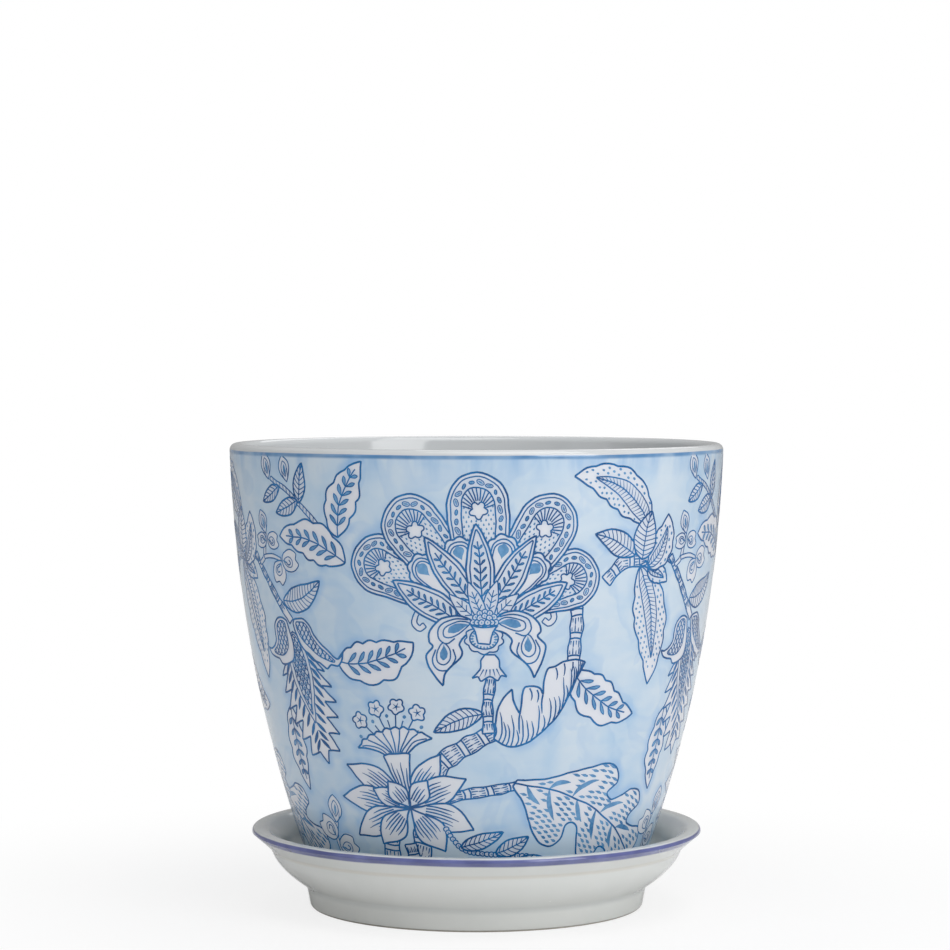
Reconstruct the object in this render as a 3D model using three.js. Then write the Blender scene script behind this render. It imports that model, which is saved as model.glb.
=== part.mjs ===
// A glazed ceramic planter: a tapered round pot with a drainage hole, standing loose in a footed
// saucer. Both pieces are turned shapes, so each one is a single section revolved about the axis.
// Millimetres, +Z up. The origin is the middle of the saucer's foot, on the surface it stands on.
import * as THREE from "three";

// Pot, in its own frame, whose zero height is the face of its foot ring.
const POT_HEIGHT = 182; // foot ring to the top of the lip
const POT_RIM_RADIUS = 104; // outside, at the lip
const POT_BASE_RADIUS = 71.6; // outside, where the wall leaves the rounded bottom edge
const POT_EDGE_HEIGHT = 8; // height of that rounded edge
const POT_EDGE_INSET = 10.6; // the flat foot is narrower than the base by this
const POT_WALL = 5.5; // wall thickness, which is the lip's thickness too
const POT_FOOT_RING_WIDTH = 7; // unglazed ring that touches the saucer
const POT_FOOT_RECESS = 2.5; // height of the underside above the foot ring
const POT_FLOOR = 7; // floor thickness
const POT_INNER_FILLET = 16; // hollow curve between the floor and the wall inside
const DRAIN_HOLE_RADIUS = 8;
const DRAIN_HOLE_EDGE = 1.2; // softened edge of the glazed hole, above and below

// The outer wall is a cubic curve, nearly upright at the lip and leaning out at the foot. Its two
// handles are placed as shares of the wall's height and of the way from base radius to rim radius.
const LOW_HANDLE_OUT = 0.59;
const LOW_HANDLE_UP = 0.315;
const HIGH_HANDLE_OUT = 0.92;
const HIGH_HANDLE_UP = 0.63;

// Saucer. Its floor is sized from the pot's base, and its bowl rises from the crease above its foot.
const SAUCER_FLOOR_INSET = 2.6; // the flat floor is narrower than the pot's base by this
const SAUCER_WALL = 5;
const SAUCER_FLOOR = 6; // floor thickness
const SAUCER_FLOOR_ROUND = 3; // hollow curve between the floor and the bowl inside
const SAUCER_FOOT_HEIGHT = 9; // table to the crease under the bowl
const SAUCER_FOOT_FLARE = 1.7; // the foot leans out by this up to its crease
const SAUCER_FOOT_RING_WIDTH = 6; // unglazed ring that touches the table
const SAUCER_FOOT_EDGE = 1.5; // rounded outer edge of the foot ring, and bevel inside it
const SAUCER_CREASE_ROUND = 2; // glaze-filled crease between foot and bowl
const SAUCER_BELLY_OUT = 13; // handle of the bowl's curve, out from the crease
const SAUCER_BELLY_RISE = 8.3; // height of that handle over the crease
const SAUCER_SHOULDER_OUT = 15; // soft ridge where the bowl turns out, from the crease
const SAUCER_SHOULDER_RISE = 15.7;
const SAUCER_FLARE_HANDLE = 2.5; // handle of the flare above the ridge, both out and up
const SAUCER_RIM_OUT = 8; // the rim is wider than the ridge by this
const SAUCER_RIM_RISE = 8.8; // ridge to the top of the rim
const SAUCER_RIM_EDGE = 1.7; // rounded edges of the rim's flat top

// Facets
const TURNS = 72; // flats round each piece
const WALL_STEPS = 15; // along the pot's wall
const BOWL_STEPS = 6; // along each curve of the saucer's bowl
const LIP_STEPS = 8; // over the pot's lip
const FILLET_STEPS = 5; // along the hollow curve in the pot
const EDGE_STEPS = 3; // round a softened edge

const point = (radius, height) => new THREE.Vector2(radius, height);

// A softened corner: it leaves each side at `size` from the corner.
function softCorner(before, corner, after, size) {
  const towards = (end) => corner.clone().add(end.clone().sub(corner).setLength(size));
  const curve = new THREE.QuadraticBezierCurve(towards(before), corner, towards(after));
  return curve.getPoints(EDGE_STEPS);
}

// The inside of a wall: the outer line, listed upwards, moved towards the axis by the thickness.
function insideOf(outer, thickness) {
  return outer.map((place, i) => {
    const below = outer[Math.max(i - 1, 0)];
    const above = outer[Math.min(i + 1, outer.length - 1)];
    const run = above.clone().sub(below).setLength(thickness);
    return point(place.x - run.y, place.y + run.x);
  });
}

// Where a line listed upwards passes a height. Past either end it follows the nearest stretch.
function crossing(line, height) {
  const above = line.findIndex((place) => place.y >= height);
  const next = above < 0 ? line.length - 1 : Math.max(1, above);
  const [low, high] = [line[next - 1], line[next]];
  return low.clone().lerp(high, (height - low.y) / (high.y - low.y));
}

// Revolves a section about the upright axis. It runs anticlockwise, with the radius to the right.
function turned(name, section, color) {
  const geometry = new THREE.LatheGeometry(section, TURNS).rotateX(Math.PI / 2);
  const material = new THREE.MeshStandardMaterial({ color, roughness: 0.15, metalness: 0 });
  const mesh = new THREE.Mesh(geometry, material);
  mesh.name = name;
  return mesh;
}

function makePot() {
  const spread = POT_RIM_RADIUS - POT_BASE_RADIUS;
  const lipMiddle = POT_HEIGHT - POT_WALL / 2;
  const rise = lipMiddle - POT_EDGE_HEIGHT;
  const base = point(POT_BASE_RADIUS, POT_EDGE_HEIGHT);
  const lowHandle = base.clone().add(point(LOW_HANDLE_OUT * spread, LOW_HANDLE_UP * rise));
  const highHandle = base.clone().add(point(HIGH_HANDLE_OUT * spread, HIGH_HANDLE_UP * rise));
  const lipOutside = point(POT_RIM_RADIUS, lipMiddle);
  const wall = new THREE.CubicBezierCurve(base, lowHandle, highHandle, lipOutside);
  const outer = wall.getPoints(WALL_STEPS);
  const inner = insideOf(outer, POT_WALL);

  const lipCentre = point(POT_RIM_RADIUS - POT_WALL / 2, lipMiddle);
  const lip = new THREE.ArcCurve(lipCentre.x, lipCentre.y, POT_WALL / 2, 0, Math.PI, false);

  // The bottom edge runs on from the wall's slope, down to the flat foot.
  const footRadius = POT_BASE_RADIUS - POT_EDGE_INSET;
  const edgeHandle = point(crossing([base, lowHandle], 0).x, 0);
  const bottomEdge = new THREE.QuadraticBezierCurve(point(footRadius, 0), edgeHandle, base);

  const ringInner = footRadius - POT_FOOT_RING_WIDTH;
  const floor = POT_FOOT_RECESS + POT_FLOOR;
  const filletTop = crossing(inner, floor + POT_INNER_FILLET);
  const filletCorner = crossing(inner, floor);
  const filletEnd = point(filletCorner.x - POT_INNER_FILLET, floor);
  const fillet = new THREE.QuadraticBezierCurve(filletTop, filletCorner, filletEnd);
  const holeAbove = point(DRAIN_HOLE_RADIUS, floor);
  const holeBelow = point(DRAIN_HOLE_RADIUS, POT_FOOT_RECESS);

  const section = [
    ...softCorner(holeAbove, holeBelow, point(ringInner, POT_FOOT_RECESS), DRAIN_HOLE_EDGE),
    point(ringInner - POT_FOOT_RECESS, POT_FOOT_RECESS),
    point(ringInner, 0),
    ...bottomEdge.getPoints(EDGE_STEPS).slice(0, -1),
    ...outer.slice(0, -1),
    ...lip.getPoints(LIP_STEPS),
    ...inner.slice(0, -1).filter((place) => place.y > filletTop.y).reverse(),
    ...fillet.getPoints(FILLET_STEPS),
    ...softCorner(filletEnd, holeAbove, holeBelow, DRAIN_HOLE_EDGE),
  ];
  return turned("pot", [...section, section[0].clone()], 0xb9d2ec);
}

// The outer and inner lines of the saucer's bowl, listed upwards from the crease. The inner line
// starts at the edge of the flat floor, which carries the pot.
function bowlLines() {
  const crease = point(0, SAUCER_FOOT_HEIGHT);
  const belly = crease.clone().add(point(SAUCER_BELLY_OUT, SAUCER_BELLY_RISE));
  const shoulder = crease.clone().add(point(SAUCER_SHOULDER_OUT, SAUCER_SHOULDER_RISE));
  const flareHandle = shoulder.clone().add(point(SAUCER_FLARE_HANDLE, SAUCER_FLARE_HANDLE));
  const underRim = shoulder.clone().add(point(SAUCER_RIM_OUT, SAUCER_RIM_RISE - SAUCER_RIM_EDGE));
  const outer = [
    ...new THREE.QuadraticBezierCurve(crease, belly, shoulder).getPoints(BOWL_STEPS),
    ...new THREE.QuadraticBezierCurve(shoulder, flareHandle, underRim).getPoints(BOWL_STEPS).slice(1),
  ];
  const inner = insideOf(outer, SAUCER_WALL);
  const outwards = point(POT_BASE_RADIUS - SAUCER_FLOOR_INSET - inner[0].x, 0);
  const moved = (line) => line.map((place) => place.clone().add(outwards));
  return { outer: moved(outer), inner: moved(inner) };
}

function makeSaucer({ outer, inner }) {
  const [crease, underRim] = [outer[0], outer[outer.length - 1]];
  const footCorner = point(crease.x - SAUCER_FOOT_FLARE, 0);
  const ringInner = footCorner.x - SAUCER_FOOT_RING_WIDTH;
  const floor = inner[0].y;
  const underside = floor - SAUCER_FLOOR;

  const rimHeight = underRim.y + SAUCER_RIM_EDGE;
  const rimCorner = point(underRim.x, rimHeight);
  const innerCorner = crossing(inner, rimHeight);
  const innerEdge = softCorner(rimCorner, innerCorner, crossing(inner, underRim.y), SAUCER_RIM_EDGE);
  const floorRound = softCorner(inner[1], inner[0], point(0, floor), SAUCER_FLOOR_ROUND);
  const lowest = floorRound[0].y;
  const highest = innerEdge[EDGE_STEPS].y;

  const section = [
    point(0, underside),
    point(ringInner - SAUCER_FOOT_EDGE, underside),
    point(ringInner, underside - SAUCER_FOOT_EDGE),
    point(ringInner, 0),
    ...softCorner(point(ringInner, 0), footCorner, crease, SAUCER_FOOT_EDGE),
    ...softCorner(footCorner, crease, outer[1], SAUCER_CREASE_ROUND),
    ...outer.slice(1, -1),
    ...softCorner(underRim, rimCorner, innerCorner, SAUCER_RIM_EDGE),
    ...innerEdge,
    ...inner.filter((place) => place.y > lowest && place.y < highest).reverse(),
    ...floorRound,
    point(0, floor),
  ];
  return turned("saucer", section, 0xe4e7e4);
}

const bowl = bowlLines();
const planter = new THREE.Group();
planter.add(makeSaucer(bowl));

// The pot only stands on the saucer's floor, so it lifts straight off.
const pot = makePot();
pot.position.z = bowl.inner[0].y;
planter.add(pot);

export default planter;
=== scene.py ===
"""A glazed ceramic planter in its saucer, decorated with a blue flowering branch, ready to render."""
import math

import bpy
import numpy as np
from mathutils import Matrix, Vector, kdtree


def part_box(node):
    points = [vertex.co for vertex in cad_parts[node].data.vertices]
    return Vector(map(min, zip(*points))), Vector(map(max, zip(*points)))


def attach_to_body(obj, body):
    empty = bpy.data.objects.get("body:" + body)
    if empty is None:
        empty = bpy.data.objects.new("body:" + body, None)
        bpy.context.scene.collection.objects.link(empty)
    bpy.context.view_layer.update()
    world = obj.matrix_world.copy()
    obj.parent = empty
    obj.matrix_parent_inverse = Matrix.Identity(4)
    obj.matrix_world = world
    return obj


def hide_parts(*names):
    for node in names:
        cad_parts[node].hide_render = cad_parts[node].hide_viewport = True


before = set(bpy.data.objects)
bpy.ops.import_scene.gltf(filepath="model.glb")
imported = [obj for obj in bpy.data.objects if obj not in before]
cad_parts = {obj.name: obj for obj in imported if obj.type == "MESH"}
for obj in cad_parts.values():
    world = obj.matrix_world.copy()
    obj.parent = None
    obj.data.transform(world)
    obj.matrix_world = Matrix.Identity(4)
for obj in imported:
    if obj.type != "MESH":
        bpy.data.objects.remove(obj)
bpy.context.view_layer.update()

MM = 0.001
POT_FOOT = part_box("pot")[0][2] / MM
POT_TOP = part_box("pot")[1][2] / MM

# Pot, in millimetres above its foot ring
POT_RIM_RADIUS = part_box("pot")[1][0] / MM
POT_HEIGHT = POT_TOP - POT_FOOT
POT_BASE_RADIUS = 71.6
POT_EDGE_HEIGHT = 8.0
POT_FOOT_RADIUS = 61.0
POT_FOOT_RING_WIDTH = 7.0
POT_FOOT_RECESS = 2.5
POT_FOOT_EDGE = 0.5
POT_RECESS_EDGE = 0.8
POT_WALL = 5.5
POT_FLOOR = 7.0
POT_INNER_FILLET = 16.0
DRAIN_HOLE_RADIUS = 8.0
DRAIN_HOLE_EDGE = 1.2
LOW_HANDLE = (0.59, 0.315)
HIGH_HANDLE = (0.92, 0.63)

# Saucer, in millimetres above the table
SAUCER_FLOOR_TOP = POT_FOOT
SAUCER_FLOOR = 6.0
SAUCER_FLOOR_RADIUS = POT_BASE_RADIUS - 2.6
SAUCER_FLOOR_ROUND = 3.0
SAUCER_BOWL_START = 2.2
SAUCER_WALL = 5.0
SAUCER_CREASE = (70.6, 9.0)
SAUCER_CREASE_ROUND = 2.0
SAUCER_FOOT_FLARE = 1.7
SAUCER_FOOT_RING_WIDTH = 6.0
SAUCER_FOOT_EDGE = 1.5
SAUCER_FOOT_INNER_EDGE = 0.4
SAUCER_RECESS_EDGE = 1.0
SAUCER_BELLY = (13.0, 8.3)
SAUCER_SHOULDER = (15.0, 15.7)
SAUCER_FLARE_HANDLE = (2.5, 2.5)
SAUCER_RIM = (8.0, 8.8)
SAUCER_RIM_EDGE = 1.7

# Glaze, in millimetres above the table: where each change of colour starts and where it is complete
DEEPER_WASH = (180, 191)
RING_UNDER_LIP = (190.9, 192.0, 192.8, 193.1)
LIP = (192.6, 193.1)
# the painted shade in the saucer's well fades out between these heights
PAINTED_SHADE_IN_WELL = (27, 32.5)
RIDGE = 24.9
CREASE = 9.2
RIM_BAND = (29.6, 30.4, 33.0, 33.4)
DARKER_FOOT_EDGE = (0.7, 1.0)
BARE_FOOT = 0.5
INSIDE_THE_FOOT_RINGS = 50

# How far behind its outer line a piece still counts as its outside, in millimetres
POT_OUTSIDE_SLACK = 2.0
SAUCER_OUTSIDE_SLACK = 1.2

# Facets
POT_TURNS = 468
SAUCER_TURNS = 240
WALL_STEP = 1.3632
MERGED = 0.01

# Decoration
BOLD, FIRM, CLEAR, THIN, FINE, HAIR = 0.82, 0.72, 0.7, 0.62, 0.56, 0.42  # widths of the pen
POINT_STEP = 0.5  # from one point of a stroke to the next
NODE_EVERY = 12  # points of a stem from one of its ringed nodes to the next
TURNS = (-113.5, 0.0, 113.5)  # where the branch comes round the wall, in degrees
PAINTED = (0.8, 174.2)  # the stretch of the wall that carries it
MM_PER_DEGREE = 1.6  # on the flat copy of the wall, about as half way up the pot
FAR = 30.0  # the distance from the figures that stands for everything but the wall
BRANCH_REACH = 170  # degrees of the wall that a branch takes up at most
STROKE_OVERHANG = 0.15
STROKE_DEPTH = 0.12
EVERY_SIDE = (-1, 1)


# Curves


def bezier(points, steps=5):
    points = np.array(points, float)
    order = len(points) - 1
    t = np.linspace(0, 1, steps + 1)[:, None]
    return sum(math.comb(order, i) * (1 - t) ** (order - i) * t**i * p for i, p in enumerate(points))


def smooth(points, around=False, steps=8):
    """A soft curve through the points, or all the way round them."""
    p = np.array(points, float)
    if around:
        p = np.vstack([p[-1:], p, p[:2]])
    else:
        p = np.vstack([2 * p[0] - p[1], p, 2 * p[-1] - p[-2]])
    t = np.linspace(0, 1, steps, endpoint=False)[:, None]
    curve = [
        0.5 * (2 * b + (c - a) * t + (2 * a - 5 * b + 4 * c - d) * t**2 + (3 * b - a - 3 * c + d) * t**3)
        for a, b, c, d in zip(p, p[1:], p[2:], p[3:])
    ]
    return np.vstack([*curve, p[-2]])


def run_of(points):
    """The length along a line, up to each of its points."""
    return np.concatenate([[0], np.cumsum(np.hypot(*np.diff(points, axis=0).T))])


def evenly(points, step):
    run = run_of(points)
    at = np.linspace(0, run[-1], max(2, math.ceil(run[-1] / step)) + 1)
    return np.column_stack([np.interp(at, run, axis) for axis in np.transpose(points)])


def direction(line):
    """Which way a line runs at each of its points, as steps of length 1."""
    run = np.gradient(line, axis=0)
    return run / np.maximum(1e-9, np.hypot(*run.T))[:, None]


def leftwards(along):
    return np.column_stack([-along[:, 1], along[:, 0]])


def closed(outline):
    return np.vstack([outline, outline[:1]])


def ray(degrees, across, up=None):
    """The point at an angle from straight up, on a circle or on an ellipse."""
    a = math.radians(degrees)
    return np.array((across * math.sin(a), (across if up is None else up) * math.cos(a)))


def inside(points, outline):
    """Which of the points an outline goes round."""
    x, y = np.array(points).T
    result = np.zeros(len(x), bool)
    for (x1, y1), (x2, y2) in zip(outline, np.roll(outline, -1, axis=0)):
        if y1 != y2:
            result ^= ((y1 > y) != (y2 > y)) & (x < (x2 - x1) * (y - y1) / (y2 - y1) + x1)
    return result


def rows_inside(points, outline):
    """The same as row numbers, quickly for many points."""
    (left, low), (right, high) = outline.min(0), outline.max(0)
    rows = np.flatnonzero((points[:, 0] > left) & (points[:, 0] < right))
    rows = rows[(points[rows, 1] > low) & (points[rows, 1] < high)]
    return rows[inside(points[rows], outline)]


def unbroken(kept):
    """Each unbroken stretch of what is kept, as a slice."""
    cuts = [0, *(np.flatnonzero(np.diff(kept)) + 1), len(kept)]
    return [slice(start, end) for start, end in zip(cuts, cuts[1:]) if kept[start]]


def search_tree(points):
    """For finding which of the points is nearest."""
    tree = kdtree.KDTree(len(points))
    for number, (x, y) in enumerate(points):
        tree.insert((x, y, 0), number)
    tree.balance()
    return tree


# Sections


def inner_line(outer, thickness):
    return outer - leftwards(direction(outer)) * (-thickness, -thickness)


def crossing(line, height):
    """Where a line that rises passes a height, or would past its end."""
    above = np.flatnonzero(line[:, 1] >= height)
    next_one = max(1, above[0]) if len(above) else len(line) - 1
    low, high = line[next_one - 1], line[next_one]
    return low + (high - low) * (height - low[1]) / (high[1] - low[1])


def soft_corner(before, corner, after, size, steps=4):
    before, corner, after = (np.array(p, float) for p in (before, corner, after))
    start = corner + (before - corner) * size / np.hypot(*(before - corner))
    end = corner + (after - corner) * size / np.hypot(*(after - corner))
    return bezier([start, corner, end], steps)


def pot_wall():
    """The outside of the pot's wall, from the bottom edge up to the lip."""
    base = np.array((POT_BASE_RADIUS, POT_EDGE_HEIGHT))
    top = np.array((POT_RIM_RADIUS, POT_HEIGHT - POT_WALL / 2))
    handles = [base + (top - base) * share for share in (LOW_HANDLE, HIGH_HANDLE)]
    return bezier([base, *handles, top], 400)


def pot_section():
    """The pot's section: under the floor, up the outside, over the lip and down the inside."""
    wall = evenly(pot_wall(), WALL_STEP)
    inner = inner_line(pot_wall()[::20], POT_WALL)
    lip_centre = wall[-1] - (POT_WALL / 2, 0)
    lip = [lip_centre + ray(90 - angle, POT_WALL / 2) for angle in np.linspace(0, 180, 15)]
    base_run = wall[1] - wall[0]
    handle = (wall[0][0] - wall[0][1] * base_run[0] / base_run[1], 0)
    foot_corner = (POT_FOOT_RADIUS, 0)
    inner_foot = (POT_FOOT_RADIUS - POT_FOOT_RING_WIDTH, 0)
    recess = (inner_foot[0] - POT_FOOT_RECESS, POT_FOOT_RECESS)
    floor = POT_FOOT_RECESS + POT_FLOOR
    hole_above, hole_below = (DRAIN_HOLE_RADIUS, floor), (DRAIN_HOLE_RADIUS, POT_FOOT_RECESS)
    fillet_top = crossing(inner, floor + POT_INNER_FILLET)
    fillet_corner = crossing(inner, floor)
    fillet_end = fillet_corner - (POT_INNER_FILLET, 0)
    return (0, POT_FOOT) + np.vstack([
        soft_corner(hole_above, hole_below, recess, DRAIN_HOLE_EDGE),
        soft_corner(hole_below, recess, inner_foot, POT_RECESS_EDGE, 2),
        soft_corner(recess, inner_foot, foot_corner, POT_FOOT_EDGE, 2),
        bezier([foot_corner, handle, wall[0]], 7)[:-1],
        wall[:-1],
        lip[:-1],
        inner[inner[:, 1] > fillet_top[1]][::-1],
        bezier([fillet_top, fillet_corner, fillet_end], 9),
        soft_corner(fillet_end, hole_above, hole_below, DRAIN_HOLE_EDGE),
    ])


def saucer_section():
    """The saucer's section, from the axis under its floor round to the axis above it."""
    crease = np.array(SAUCER_CREASE)
    shoulder = crease + SAUCER_SHOULDER
    rim = shoulder + SAUCER_RIM
    under_rim = rim - (0, SAUCER_RIM_EDGE)
    outer = np.vstack([
        bezier([crease, crease + SAUCER_BELLY, shoulder], 14)[:-1],
        bezier([shoulder, shoulder + SAUCER_FLARE_HANDLE, under_rim], 10),
    ])
    inner = inner_line(outer, SAUCER_WALL)
    outwards = (SAUCER_FLOOR_RADIUS - inner[0][0], 0)
    outer, inner = outer + outwards, inner + outwards
    crease, under_rim, rim = outer[0], outer[-1], rim + outwards
    crease_round = min(SAUCER_CREASE_ROUND, np.hypot(*(outer[1] - crease)))
    foot = (crease[0] - SAUCER_FOOT_FLARE, 0)
    inner_foot = (foot[0] - SAUCER_FOOT_RING_WIDTH, 0)
    underside = [(radius, SAUCER_FLOOR_TOP - SAUCER_FLOOR) for radius in (0, 20, 40)]
    recess = (inner_foot[0] - SAUCER_FOOT_EDGE, underside[0][1])
    inner_rim = crossing(inner, rim[1])
    inner_edge = soft_corner(rim, inner_rim, crossing(inner, under_rim[1]), SAUCER_RIM_EDGE, 5)
    floor = [(radius, SAUCER_FLOOR_TOP) for radius in (50, 25, 0)]
    floor_edge = (SAUCER_FLOOR_RADIUS, SAUCER_FLOOR_TOP)
    up_the_bowl = crossing(inner, SAUCER_FLOOR_TOP + SAUCER_BOWL_START)
    floor_round = soft_corner(up_the_bowl, floor_edge, floor[-1], SAUCER_FLOOR_ROUND, 6)
    between = (inner[:, 1] > floor_round[0][1]) & (inner[:, 1] < inner_edge[-1][1])
    return np.vstack([
        underside,
        soft_corner(underside[-1], recess, inner_foot, SAUCER_RECESS_EDGE),
        soft_corner((inner_foot[0], recess[1]), inner_foot, foot, SAUCER_FOOT_INNER_EDGE, 2),
        soft_corner(inner_foot, foot, crease, SAUCER_FOOT_EDGE, 5),
        soft_corner(foot, crease, outer[1], crease_round, 6)[:-1],
        outer[1:-1],
        soft_corner(under_rim, rim, inner_rim, SAUCER_RIM_EDGE, 6),
        inner_edge,
        inner[between][::-1],
        floor_round,
        floor,
    ])


def saucer_outside():
    """The outside of the saucer, from its foot up to its rim."""
    section = saucer_section()
    line = section[: np.argmax(section[:, 1]) + 1]
    line = line[line[:, 0] > SAUCER_CREASE[0] - SAUCER_FOOT_FLARE - SAUCER_FOOT_EDGE / 3]
    return line[np.argsort(line[:, 1])]


# Modelling


def shade(piece, angle):
    """Smooth shading, with an edge wherever the surface turns by more than the angle."""
    bpy.ops.object.select_all(action="DESELECT")
    piece.select_set(True)
    bpy.context.view_layer.objects.active = piece
    bpy.ops.object.shade_smooth_by_angle(angle=math.radians(angle))


def put_in(name, data):
    """Puts a mesh, a lamp or a camera in the scene."""
    item = bpy.data.objects.new(name, data)
    bpy.context.collection.objects.link(item)
    return item


def circle(name, points, radius, fill="NOTHING"):
    bpy.ops.object.select_all(action="DESELECT")
    bpy.ops.mesh.primitive_circle_add(vertices=points, radius=radius, fill_type=fill)
    piece = bpy.context.object
    piece.name = piece.data.name = name
    return piece


def turned(name, section, turns):
    """Turns a section, drawn as a ring of points, once round the upright axis."""
    piece = circle(name, len(section), 0.1)
    for vertex, (radius, height) in zip(piece.data.vertices, section * MM):
        vertex.co = (0, -radius, height)
    bpy.ops.object.modifier_add(type="SCREW")
    lathe = piece.modifiers[-1]
    lathe.steps = lathe.render_steps = turns
    lathe.use_merge_vertices = True
    lathe.merge_threshold = MERGED * MM
    bpy.ops.object.modifier_apply(modifier=lathe.name)
    bpy.ops.object.mode_set(mode="EDIT")
    bpy.ops.mesh.select_all(action="SELECT")
    bpy.ops.mesh.remove_doubles(threshold=MERGED * MM)
    bpy.ops.mesh.delete_loose()
    bpy.ops.mesh.select_all(action="SELECT")
    bpy.ops.mesh.normals_make_consistent(inside=False)
    bpy.ops.object.mode_set(mode="OBJECT")
    shade(piece, 40)
    return piece


def values_of(items, name, kind=float, each=1):
    values = np.empty(len(items) * each, kind)
    items.foreach_get(name, values)
    return values


def places_of(piece):
    return values_of(piece.data.vertices, "co", each=3).reshape(-1, 3) / MM


def radius_of(places):
    return np.hypot(places[:, 0], places[:, 1])


def angle_of(places):
    """The angle about the axis in degrees, 0 at the front and rising to the right."""
    return np.degrees(np.arctan2(places[:, 0], -places[:, 1]))


def half_turns(angles):
    """The same angles from -180 to 180 degrees."""
    return (angles + 180) % 360 - 180


def corners_of(mesh):
    """Each face corner's vertex and the number of its face."""
    sizes = values_of(mesh.polygons, "loop_total", int)
    return values_of(mesh.loops, "vertex_index", int), np.repeat(np.arange(len(sizes)), sizes)


def joined_up(shares, faces):
    """Moves a face's corners to the far end of the map where the face crosses its seam."""
    highest, lowest = np.full(faces[-1] + 1, -1.0), np.full(faces[-1] + 1, 2.0)
    np.fmax.at(highest, faces, shares)
    np.fmin.at(lowest, faces, shares)
    crosses = (highest - lowest > 0.5)[faces]
    return np.where(crosses & (shares < 0.5), shares + 1, shares)


def unwrap(piece, across, up):
    """Gives a piece its map, from each vertex's share of the way across and up."""
    vertices, faces = corners_of(piece.data)
    on_axis = (radius_of(places_of(piece)) < MERGED)[vertices]
    turn = joined_up(np.where(on_axis, np.nan, across[vertices]), faces)
    corners = np.maximum(1, np.bincount(faces, ~on_axis))
    middle = np.bincount(faces, np.where(on_axis, 0, turn)) / corners
    turn = np.where(on_axis, middle[faces], turn)
    spread = np.column_stack([turn, joined_up(up[vertices], faces)])
    layer = piece.data.uv_layers.new(name="OFBake")
    layer.data.foreach_set("uv", np.clip(spread, 0, 1).ravel())


def along_section(places, section):
    """Each place's share of the way round the section."""
    run = run_of(closed(section))
    share = run / (run[-1] if section[0][0] > 0 else run[-2])
    tree = search_tree(section)
    return np.array([share[tree.find((r, z, 0))[1]] for r, z in zip(radius_of(places), places[:, 2])])


def attach(piece, name, values):
    attribute = piece.data.attributes.new(name, "FLOAT", "POINT")
    attribute.data.foreach_set("value", values.astype(float))


def round_piece(name, section, turns, outer_line, slack, foot, lowest):
    """A turned piece with its map, which knows its outer side and the bare ring under its foot."""
    piece = turned(name, section, turns)
    places = places_of(piece)
    unwrap(piece, angle_of(places) / 360 % 1, along_section(places, section))
    radii, heights = radius_of(places), places[:, 2]
    on_the_outside = radii > np.interp(heights, outer_line[:, 1], outer_line[:, 0]) - slack
    attach(piece, "outside", on_the_outside & (heights > foot + lowest))
    attach(piece, "bare", (heights < foot + BARE_FOOT) & (radii > INSIDE_THE_FOOT_RINGS))
    return piece


# The pen, which draws on the wall in millimetres


WALL = pot_wall() + (0, POT_FOOT)
WALL_RUN = run_of(WALL)

# How wide a stroke is along its way, from 0 to 1
FORMS = {
    "even": np.ones_like,
    "flick": lambda t: np.clip(1.2 - t, 0.25, 1),
    "taper": lambda t: np.clip(2.4 - 2 * t, 0.4, 1),
    "lens": lambda t: np.sin(math.pi * np.clip(t, 0.03, 0.97)) ** 0.75,
    "drop": lambda t: np.sin(math.pi * np.clip(t, 0.03, 0.97) ** 1.7) ** 0.75,
    "ball": lambda t: np.sqrt(1 - (1.9 * np.clip(t, 0.02, 0.98) - 0.95) ** 2),
}


def radius_at(up):
    return np.interp(up, WALL_RUN, WALL[:, 0])


def bend(length, turn):
    """Curls what stands on the y axis, so that this length of it turns by an angle to the right."""
    curl = math.radians(turn) / length

    def curled(points):
        x, y = points.T
        sine, cosine = np.sin(curl * y), np.cos(curl * y)
        return np.column_stack([(1 - cosine) / curl + x * cosine, sine / curl - x * sine])

    return curled


def move(x, y, turn, size, flip):
    """Mirrors, scales, turns clockwise and places."""
    c, s = size * math.cos(math.radians(turn)), size * math.sin(math.radians(turn))
    side = -1 if flip else 1

    def moved(points):
        across, up = side * points[:, 0], points[:, 1]
        return np.column_stack([across * c + up * s + x, up * c - across * s + y])

    return moved


def unsteady(points):
    """The small unsteadiness of a hand, the same for all that is drawn at one spot."""
    x, y = points.T
    return np.column_stack([
        x + 0.20 * np.sin(0.31 * y + 0.17 * x) + 0.09 * np.sin(0.83 * y - 0.51 * x + 1.3),
        y + 0.20 * np.sin(0.29 * x - 0.19 * y + 2.1) + 0.09 * np.sin(0.77 * x + 0.57 * y + 0.4),
    ])


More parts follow.
